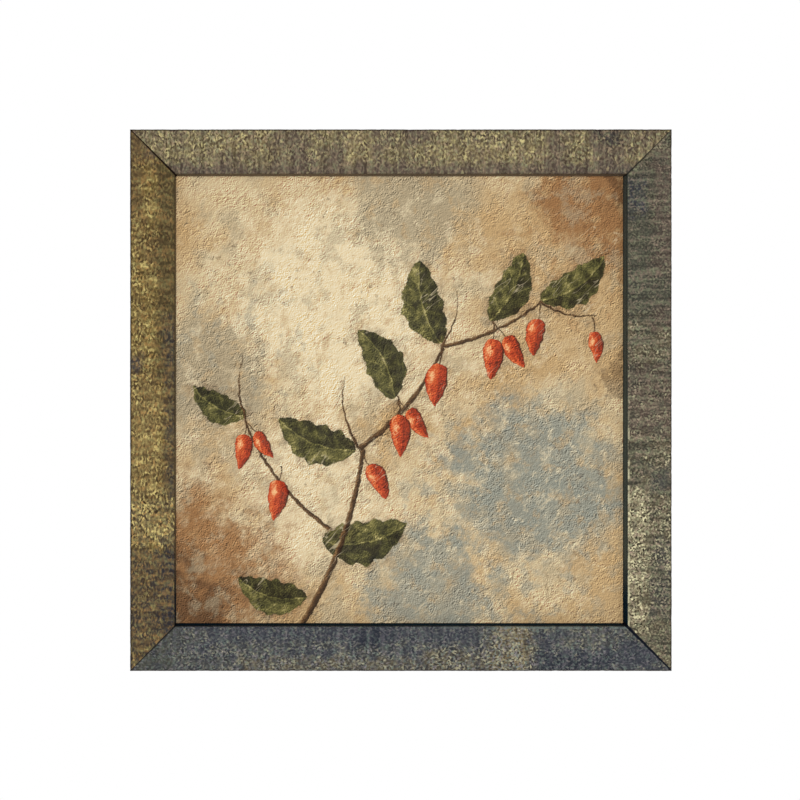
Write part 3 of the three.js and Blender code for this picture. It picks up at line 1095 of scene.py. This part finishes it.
# %% Marks
LEAF_LOBES = 31  # the angle that its lobes go through along a leaf, in radians
VEIN_PITCH = 7.0  # millimetres from vein to vein
LANTERN_RIBS = 10.5  # the angle of its ribs from a lantern's middle to its rim, in radians


def smaller(one, other):
    """The smaller of two flows."""
    return one.math("MINIMUM", other)


def off_line(share, aside, bend):
    """How far a point is from a mark's bent middle line."""
    return aside - share * (1 - share) * (bend * 4)


def stem(along, aside, rub, tones, length, bend, thick, thin):
    """A line that tapers from thick to thin."""
    share = along / length
    off = off_line(share, aside, bend) + (tones - 0.5) * 1.6
    half = thick + (thin - thick) * share + (rub - 0.5) * 1.6
    return half - abs(off), off * 0.22 + (rub - 0.5) * 0.8 + (tones - 0.5) * 0.9 + 0.42


def leaf(along, aside, rub, tones, length, bend, width):
    """A lobed outline, with a pale midrib and veins."""
    share = along / length
    off = off_line(share, aside, bend)
    from_line = abs(off)
    lobes = (share * LEAF_LOBES).math("SINE") * 0.07 + 1
    half = (share * (1 - share) * 4) ** 0.72 * (width * (1.14 - share * 0.4)) * lobes
    midrib = ease(from_line + (rub - 0.5) * 0.6, 0.85, 0.25)
    rows = (along - from_line * 1.15) / VEIN_PITCH
    veins = ease(abs(rows.math("FRACT") - 0.5), 0.42, 0.5) * ease(from_line, 0.5, 2.0)
    tone = ease(off, -1.2, 1.2) * 0.22 + (rub - 0.5) * 0.9 + (tones - 0.5) * 1.9 + 0.28
    ragged = (rub - 0.5) * 3.2 + (tones - 0.5) * 4
    return half - from_line + ragged, tone + midrib * 0.32 + veins * 0.2


def lantern(along, aside, rub, tones, length, bend, width):
    """A pointed pod with ribs, lit from one side, with a spot of shine."""
    share = along / length
    off = off_line(share, aside, bend)
    half = share**0.4 * (1 - share) ** 0.8 * (width * 1.06) + 0.01
    across = off / (half + 0.2)
    ribs = (across * LANTERN_RIBS).math("COSINE")
    shine = ease(abs(share - 0.3) * 1.8 + abs(across + 0.36) * 1.1, 0.5, 0.05)
    rim = ease(abs(across), 0.7, 1.0)
    tone = 0.56 - across * 0.3 - share * 0.14 + ribs * 0.06 + shine * 0.42 - rim * 0.28
    return half - abs(off) + (rub - 0.5) * 1.2, tone + (rub - 0.5) * 0.8 + (tones - 0.5) * 0.8


print("marks:", ", ".join(draw.__name__ for draw in (stem, leaf, lantern)))

# %% [markdown]
# A mark takes dozens of nodes, and there are dozens of marks. So each kind is made once, as a node
# group with the mark's numbers as its inputs, and every mark is one node that uses it.

# %% One group for a kind of mark
SHAPE_INPUTS = {
    stem: ("length", "bend", "thick", "thin"),
    leaf: ("length", "bend", "width"),
    lantern: ("length", "bend", "width"),
}


def mark_group(draw):
    """A node group of one kind of mark: its mask, its tone, and the place round it."""
    group = bpy.data.node_groups.new(draw.__name__, "ShaderNodeTree")
    group.interface.new_socket("place", in_out="INPUT", socket_type="NodeSocketVector")
    for name in ("rub", "tones", *SHAPE_INPUTS[draw]):
        group.interface.new_socket(name, in_out="INPUT", socket_type="NodeSocketFloat")
    for name in ("mask", "tone", "near"):
        group.interface.new_socket(name, in_out="OUTPUT", socket_type="NodeSocketFloat")
    entry = group.nodes.new("NodeGroupInput")
    place, rub, tones, length, *shape = [Flow(entry.outputs[i]) for i in range(len(SHAPE_INPUTS[draw]) + 3)]
    along, _, aside = axes(place)
    inside, tone = draw(along, aside, rub, tones, length, *shape)
    inside = smaller(inside, smaller(along, length - along) + 0.3)
    result = group.nodes.new("NodeGroupOutput")
    for flow, socket in zip((ease(inside, -0.1, 0.6), tone, ease(inside, -9, 0)), result.inputs):
        group.links.new(flow.socket, socket)
    return group


groups = {draw: mark_group(draw) for draw in SHAPE_INPUTS}
print({group.name: len(group.nodes) for group in groups.values()}, "nodes")

# %% [markdown]
# The marks' places are given one by one: a branch that rises from the lower left and arches over to
# the right, with a side shoot. Lanterns hang below its joints on short stalks, and leaves stand above them.

# %% The branch
# Where a mark starts, rightwards and upwards of the middle, its turn, and the numbers of its shape.
STEMS = [
    (-70, -160, 70, 136, -8, 2.6, 1.9),
    (-26, -32, 50, 90, -6, 2.0, 1.5),
    (30, 38, 24, 76, -5, 1.6, 1.1),
    (98, 69, -14, 40, -4, 1.2, 0.6),
    (-46, -88, 128, 96, 7, 1.8, 1.0),
    (-104, -12, 92, 44, 4, 1.1, 0.5),
    (-26, -32, 102, 50, 5, 1.3, 0.5),
    (30, 38, 74, 40, -4, 1.1, 0.4),
    (0, 4, -84, 14, 1, 0.9, 0.7),
    (0, 4, -50, 12, -1, 0.8, 0.6),
    (30, 38, -94, 13, 1, 0.9, 0.7),
    (66, 56, -92, 13, 1, 0.8, 0.7),
    (66, 56, -52, 14, -1, 0.8, 0.6),
    (98, 69, -96, 12, 1, 0.8, 0.6),
    (134, 58, -84, 10, 1, 0.7, 0.6),
    (-26, -32, -58, 14, -1, 0.8, 0.6),
    (-80, -44, -98, 11, 1, 0.8, 0.6),
    (-104, -12, -96, 11, 1, 0.8, 0.6),
    (-104, -12, -50, 12, -1, 0.7, 0.6),
]
LEAVES = [
    (-28, -33, 158, 58, 7, 15),
    (-2, 2, 118, 54, -6, 14),
    (30, 40, 104, 60, 6, 15),
    (64, 56, 64, 52, -5, 13),
    (98, 70, 34, 54, -7, 13),
    (-52, -96, 12, 60, -7, 16),
    (-104, -10, 150, 42, 5, 11),
    (-62, -134, 164, 50, 7, 13),
]
LANTERNS = [
    (8, -5, -56, 24, -1, 12),
    (1, -9, -88, 29, 1, 15),
    (29, 26, -96, 30, -1, 16),
    (75, 45, -60, 25, -1, 13),
    (66, 43, -94, 28, 1, 15),
    (97, 57, -98, 26, -1, 14),
    (135, 48, -84, 21, 1, 11),
    (-19, -43, -64, 27, 1, 14),
    (-81, -54, -99, 28, 1, 15),
    (-97, -21, -56, 21, -1, 11),
    (-105, -22, -98, 25, 1, 13),
]
LEAF_PAINTS = [
    (0.0, tint(24, 24, 14)),
    (0.3, tint(50, 50, 26)),
    (0.55, tint(86, 84, 44)),
    (0.8, tint(128, 120, 68)),
    (1.0, tint(176, 164, 110)),
]
STEM_PAINTS = [
    (0.0, tint(36, 24, 16)),
    (0.4, tint(70, 48, 30)),
    (0.75, tint(118, 86, 54)),
    (1.0, tint(170, 136, 94)),
]
LANTERN_PAINTS = [
    (0.0, tint(60, 20, 12)),
    (0.25, tint(120, 36, 20)),
    (0.5, tint(178, 58, 28)),
    (0.75, tint(212, 96, 48)),
    (1.0, tint(240, 178, 124)),
]


def painted_branch(colour, place):
    """The marks over the ground: leaves, then stems, then lanterns."""
    loose = stirred(place, size=5, reach=(3.0, 0, 3.0), detail=3)
    rub = cloud(brushed(place, turn=42, length=1.5, width=0.9), size=1.0, detail=3, rough=0.62)
    tones = cloud(place, size=7, detail=4, rough=0.6)
    smudges = ease(cloud(place, size=11, detail=5, rough=0.65), 0.44, 0.6)
    kinds = (
        (leaf, LEAVES, LEAF_PAINTS, 0.4),
        (stem, STEMS, STEM_PAINTS, 0.15),
        (lantern, LANTERNS, LANTERN_PAINTS, 0.2),
    )
    for draw, marks, paints, smudged in kinds:
        mask, tone, near = 0.0, 0.0, 0.0
        for x, z, turn, *numbers in marks:
            inputs = [brushed(loose, turn, 1, 1, x, z), rub, tones, *numbers]
            one = place.node("ShaderNodeGroup", {"node_tree": groups[draw]}, dict(enumerate(inputs)))
            tone = tone + (one.beside(1) - tone) * one
            mask = larger(one, mask)
            near = larger(one.beside(2), near)
        colour = blend(colour, UMBER, near * smudges * smudged)
        paint = tone.node("ShaderNodeValToRGB", {"stops": paints}, {"Fac": tone})
        colour = blend(colour, paint, mask * 0.96)
    return colour


print(len(STEMS), "stems,", len(LEAVES), "leaves and", len(LANTERNS), "lanterns")

# %% [markdown]
# The print's surface is matt canvas. The mesh has the brushed ground's relief, and a bump adds the fine
# weave of threads that the mesh couldn't hold.

# %% The print
THREAD = 0.62  # millimetres from thread to thread
WEAVE_RELIEF = 0.02 * MM


def weave(place):
    """Height of plain-woven threads, from -1 to 1."""
    across, _, up = axes(place)
    turn = math.tau / THREAD / 2
    return (across * turn).math("SINE") * (up * turn).math("SINE")


def print_finish():
    """The material of the canvas: ground, branch and age, on a woven sheet."""
    material, shader, place = new_material("canvas_print", Roughness=0.8, Specular_IOR_Level=0.15)
    flat = flattened(place)
    colour = aged(painted_branch(painted_ground(flat), flat), flat)
    feed(shader, Base_Color=colour, Normal=relief(weave(flat), WEAVE_RELIEF))
    return material


sheet = add_piece("printed_sheet", canvas, print_finish(), "printed_canvas", "canvas_print")
print("the print's material has", len(sheet.data.materials[0].node_tree.nodes), "nodes")

# %% [markdown]
# ## The boards
# Behind the canvas are the board it is glued to and a hardboard backing, both flat, so the model's own
# pieces stay and only get a material. Hardboard is pressed on a wire screen, which leaves its mesh on
# the back. Card shows short fibres and a little dirt.

# %% Boards
HARDBOARD = tint(110, 78, 50)
HARDBOARD_DARK = tint(74, 50, 32)
HARDBOARD_LIGHT = tint(150, 114, 78)
CARD = tint(184, 170, 146)
CARD_DARK = tint(140, 126, 104)
SCREEN_PITCH = 1.5  # millimetres


def hardboard():
    """Pressed board with the mesh of its screen, painted shade in the mesh's hollows, fibres, specks and
    scuffs.
    """
    material, shader, place = new_material("hardboard", Specular_IOR_Level=0.35)
    across, _, up = axes(place)
    turn = math.tau / SCREEN_PITCH
    screen = (across * turn).math("SINE") + (up * turn).math("SINE")
    fibres = cloud(drawn_out(place, 3, 1, 1), size=0.7, detail=4, rough=0.7)
    patches = cloud(place, size=38, detail=5, rough=0.6)
    colour = blend(HARDBOARD, HARDBOARD_DARK, ease(patches, 0.3, 0.7) * 0.5)
    specks = cloud(place, size=3, detail=5, rough=0.75)
    colour = blend(colour, HARDBOARD_DARK, ease(specks, 0.5, 0.66) * 0.5)
    colour = blend(colour, HARDBOARD_LIGHT, ease(fibres, 0.54, 0.76) * 0.6)
    # painted shade in the hollows of the screen's mesh
    colour = blend(colour, HARDBOARD_DARK, ease(screen, 0.1, -1.6) * 0.55)
    scuffs = thin_lines(brushed(place, turn=24, length=60, width=5), wide=0.014, thin=0.003, detail=3)
    colour = blend(colour, HARDBOARD_LIGHT, scuffs * ease(patches, 0.56, 0.46) * 0.5)
    height = screen * 0.2 + fibres * 0.5
    feed(shader, Base_Color=colour, Roughness=0.5 + fibres * 0.4, Normal=relief(height, depth=0.3 * MM))
    return material


def card():
    """Pale card with short fibres and a little dirt."""
    material, shader, place = new_material("card", Roughness=0.9, Specular_IOR_Level=0.2)
    fibres = cloud(drawn_out(place, 2, 1, 1), size=0.8, detail=4, rough=0.7)
    colour = blend(CARD, CARD_DARK, ease(cloud(place, size=30, detail=4), 0.44, 0.68) * 0.7)
    colour = blend(colour, CARD_DARK, ease(fibres, 0.52, 0.7) * 0.6)
    feed(shader, Base_Color=colour, Normal=relief(fibres, depth=0.1 * MM))
    return material


def paint_node(node, material):
    """Gives one of the model's own pieces a material."""
    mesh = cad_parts[node].data
    mesh.materials.clear()
    mesh.materials.append(material)


paint_node("backing_board", hardboard())
paint_node("mount_board", card())
print("both boards keep the model's shape")

# %% [markdown]
# ## Steel
# The tabs, the V nails and the hanger are stamped from zinc-plated sheet. Stamping leaves edges that
# are slightly round and catch the light, so each is a copy of the model's piece with its edges
# bevelled. Zinc plating has a faint spangle of crystals, and the sheet has scratches along it.

# %% Zinc
ZINC = tint(176, 174, 168)
ZINC_DULL = tint(122, 120, 114)
TARNISH = tint(104, 92, 72)
ZINC_ROUGHNESS = 0.24


def zinc(name, spangle):
    """Zinc plating whose crystals are this many millimetres wide."""
    material, shader, place = new_material(name, Metallic=1.0)
    cells = place.node("ShaderNodeTexVoronoi", {}, {"Vector": place, "Scale": 1 / spangle}, output="Color")
    cell = axes(cells)[0]
    smears = cloud(place, size=5, detail=4, rough=0.6)
    scratches = cloud(drawn_out(place, 12, 12, 0.5), size=1.0, detail=2)
    colour = blend(ZINC, ZINC_DULL, cell * 0.5 + ease(smears, 0.45, 0.65) * 0.4)
    colour = blend(colour, TARNISH, ease(cloud(place, size=9, detail=3), 0.58, 0.7) * 0.45)
    rough = ZINC_ROUGHNESS + cell * 0.12 + smears * 0.2 + scratches * 0.1
    feed(shader, Base_Color=colour, Roughness=rough, Normal=relief(scratches + smears, depth=0.03 * MM))
    return material


plated = zinc("zinc_plating", spangle=1.6)
bright = zinc("bright_zinc", spangle=0.8)
print("two platings:", plated.name, "and", bright.name)

# %% [markdown]
# A stamped piece starts as the model's piece with its loose triangles merged, because a bevel needs
# edges that two faces share. Only edges with a real corner are rounded.

# %% Stamped pieces
STAMPED_ROUND = 0.12 * MM
CREASE = math.radians(20)  # edges sharper than this are rounded


def stamped(name, node, material, slot):
    """A copy of a piece of the model, with rounded edges."""
    bm = merged_copy(node)
    edges = [e for e in bm.edges if e.calc_face_angle() > CREASE]
    bmesh.ops.bevel(
        bm, geom=edges, offset=STAMPED_ROUND, segments=2,
        profile=0.5, affect="EDGES", material=-1, clamp_overlap=True,
    )
    return add_piece(name, bm, material, slot, node)


tabs = [stamped(f"steel_{n}", n, plated, "zinc_steel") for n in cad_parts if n.startswith("tab_")]
nails = [stamped(f"steel_{n}", n, plated, "zinc_steel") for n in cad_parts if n.startswith("v_nail")]
hanger = stamped("toothed_hanger", "hanger_plate", bright, "hanger_steel")
print(len(tabs), "tabs,", len(nails), "V nails and a hanger with", len(hanger.data.polygons), "faces")

# %% [markdown]
# ## Turned pieces
# The hanger's two nails and the felt pads are round about an axis, so each is one outline spun round a
# line through its middle. The outline starts and ends on the axis, and the points that meet there are
# merged, so that the pole is closed.

# %% Spun outlines
SPIN_STEPS = 48


def spun(outline, x, z):
    """Spins an outline of (radius, y) round the line through (x, z) that runs along Y."""
    bm = bmesh.new()
    points = [bm.verts.new((x + radius, y, z)) for radius, y in outline]
    line = [bm.edges.new(pair) for pair in zip(points, points[1:])]
    bmesh.ops.spin(
        bm, geom=points + line, cent=(x, 0, z), axis=(0, 1, 0),
        angle=math.tau, steps=SPIN_STEPS, use_merge=True,
    )
    bmesh.ops.remove_doubles(bm, verts=bm.verts[:], dist=SAME)
    bmesh.ops.recalc_face_normals(bm, faces=bm.faces[:])
    return bm


def arc(middle_radius, middle_y, radius, start, end, steps=5):
    """Points of a quarter or less of a circle, for an outline. Angles are in degrees from outwards."""
    angles = [math.radians(start + (end - start) * i / steps) for i in range(steps + 1)]
    return [(middle_radius + radius * math.cos(a), middle_y + radius * math.sin(a)) for a in angles]


# %% [markdown]
# A hanger nail is made of wire, with a point, a shank, and a low domed head whose edge is rounded. Its
# place, its length and its head come from the model's own nail.

# %% Hanger nails
NAIL_RADIUS = 0.7 * MM
NAIL_HEAD = 0.8 * MM  # thickness of its head
NAIL_POINT = 2 * MM
HEAD_ROUND = 0.25 * MM
HEAD_CROWN = 0.3 * MM  # how far below its top the round of its edge has its middle
HEAD_DIP = 0.015 * MM  # how much lower its top is half way out

for side in ("left", "right"):
    low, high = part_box(f"hanger_nail_{side}")
    x, z = (low.x + high.x) / 2, (low.z + high.z) / 2
    head = (high.x - low.x) / 2
    under = high.y - NAIL_HEAD
    outline = [
        (0, low.y),
        (NAIL_RADIUS, low.y + NAIL_POINT),
        (NAIL_RADIUS, under),
        *arc(head - HEAD_ROUND, under + HEAD_ROUND, HEAD_ROUND, -90, 0),
        *arc(head - HEAD_ROUND, high.y - HEAD_CROWN, HEAD_ROUND, 0, 70),
        (head * 0.45, high.y - HEAD_DIP),
        (0, high.y),
    ]
    nail = spun(outline, x, z)
    add_piece(f"steel_nail_{side}", nail, bright, "hanger_steel", f"hanger_nail_{side}")
    print(f"nail {side}: head {2 * head / MM:.1f} mm across")

# %% [markdown]
# Felt pads keep the bottom rail off the wall, so that air can pass and the paint isn't rubbed. Felt has
# no threads: it is a mat of curled fibres, a little uneven all over, and lint shows pale on it.

# %% Felt pads
PAD_ROUND = 0.6 * MM  # of the edge at the wall
PAD_EDGE = 0.3 * MM  # of the edge at the rail
FELT = tint(66, 60, 54)
FELT_DARK = tint(34, 30, 27)
FELT_LINT = tint(124, 116, 104)
FUZZ = 0.14 * MM  # how far the felt sinks in places
FUZZ_PER_MM = 0.9  # lumps of it to a millimetre
RINGS, ROWS = 8, 6  # parts of the pad's radius and of its height
ON_FACE = 0.01 * MM  # points this near to a flat face are on it
FACE_FUZZ = 0.3  # share of the fuzz that a flat face has


def felt():
    """A mat of curled fibres with pale lint."""
    material, shader, place = new_material("felt", Roughness=1.0, Specular_IOR_Level=0.1)
    mat = ease(waves(place, width=1.1, run=1.2), 0.5, 0.64)
    lumps = cloud(place, size=2.4, detail=4, rough=0.65)
    colour = blend(FELT_DARK, FELT, ease(lumps, 0.35, 0.62))
    colour = blend(colour, FELT_LINT, mat * 0.35)
    feed(shader, Base_Color=colour, Normal=relief(mat * 0.5 + lumps, depth=0.25 * MM))
    return material


felted = felt()
for side in ("left", "right"):
    low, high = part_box(f"wall_pad_{side}")
    radius = (high.x - low.x) / 2
    rings = [radius * i / RINGS for i in range(1, RINGS)]
    outline = [
        (0, low.y),
        *[(ring, low.y) for ring in rings],
        *arc(radius - PAD_EDGE, low.y + PAD_EDGE, PAD_EDGE, -90, 0, 3),
        *[(radius, low.y + (high.y - low.y) * i / ROWS) for i in range(1, ROWS - 1)],
        *arc(radius - PAD_ROUND, high.y - PAD_ROUND, PAD_ROUND, 0, 90),
        *[(ring, high.y) for ring in reversed(rings)],
        (0, high.y),
    ]
    pad = spun(outline, (low.x + high.x) / 2, (low.z + high.z) / 2)
    pad.normal_update()
    for vert in pad.verts:
        fuzz = 0.5 + 0.5 * noise.noise(vert.co / MM * FUZZ_PER_MM)
        on_face = min(vert.co.y - low.y, high.y - vert.co.y) < ON_FACE
        vert.co -= vert.normal * FUZZ * fuzz * (FACE_FUZZ if on_face else 1.0)
    add_piece(f"felt_pad_{side}", pad, felted, "felt", f"wall_pad_{side}")
    print(f"felt pad {side}: {2 * radius / MM:.0f} mm across")

# %% [markdown]
# ## Light
# The photograph is lit evenly from the front and stands on pure white. A world that is white to the
# camera but a quarter as bright as a light gives the white, and two lamps behind the camera light the
# front with hardly any shadow along the frame. Two more stand to its left and right, further back than
# the wall. They light its sides and back, and leave its front alone.

# %% Light
WORLD_LIGHT = 0.24
LAMPS = {  # where it is from the picture's middle, its size and its power
    "key": ((-0.17, -1.9, 0.19), 0.4, 18.6),
    "fill": ((0.5, -1.9, -0.1), 0.9, 8.5),
    "left": ((-1.5, 0.75, 0.5), 0.9, 16),
    "right": ((1.5, 0.75, 0.1), 0.9, 9),
}

world = bpy.data.worlds.new("white")
world.use_nodes = True
bpy.context.scene.world = world
background = world.node_tree.nodes["Background"]
background.inputs["Color"].default_value = (1, 1, 1, 1)
to_camera = Flow(world.node_tree.nodes.new("ShaderNodeLightPath").outputs["Is Camera Ray"])
strength = to_camera * (1 - WORLD_LIGHT) + WORLD_LIGHT
world.node_tree.links.new(strength.socket, background.inputs["Strength"])
for name, (place, size, power) in LAMPS.items():
    data = bpy.data.lights.new(name, "AREA")
    data.size = size
    data.energy = power
    light = new_object(name, data)
    light.location = CENTRE + Vector(place)
    light.rotation_euler = (CENTRE - light.location).to_track_quat("-Z", "Y").to_euler()
bpy.context.scene.view_settings.view_transform = "Standard"
print("one world and", len(LAMPS), "lamps")

# %% [markdown]
# ## Floor
# The picture hangs, so the floor lies well below it. It is a plain pale disc, small enough to stay out
# of the camera's view.

# %% Floor
FLOOR_HEIGHT = -0.75
FLOOR_RADIUS = 0.88
FLOOR_CLOUDS = 90  # millimetres

floor_material, floor_shader, floor_place = new_material("pale_floor", Roughness=0.8)
speckle = cloud(floor_place, FLOOR_CLOUDS, detail=3)
feed(floor_shader, Base_Color=blend(tint(226, 225, 222), tint(236, 235, 232), speckle))
disc = bmesh.new()
bmesh.ops.create_circle(disc, cap_ends=True, radius=FLOOR_RADIUS, segments=128)
bmesh.ops.translate(disc, verts=disc.verts[:], vec=(0, 0, FLOOR_HEIGHT))
floor = mesh_object("floor", disc, floor_material)
print(f"the floor is {FLOOR_RADIUS * 2:.2f} m across")
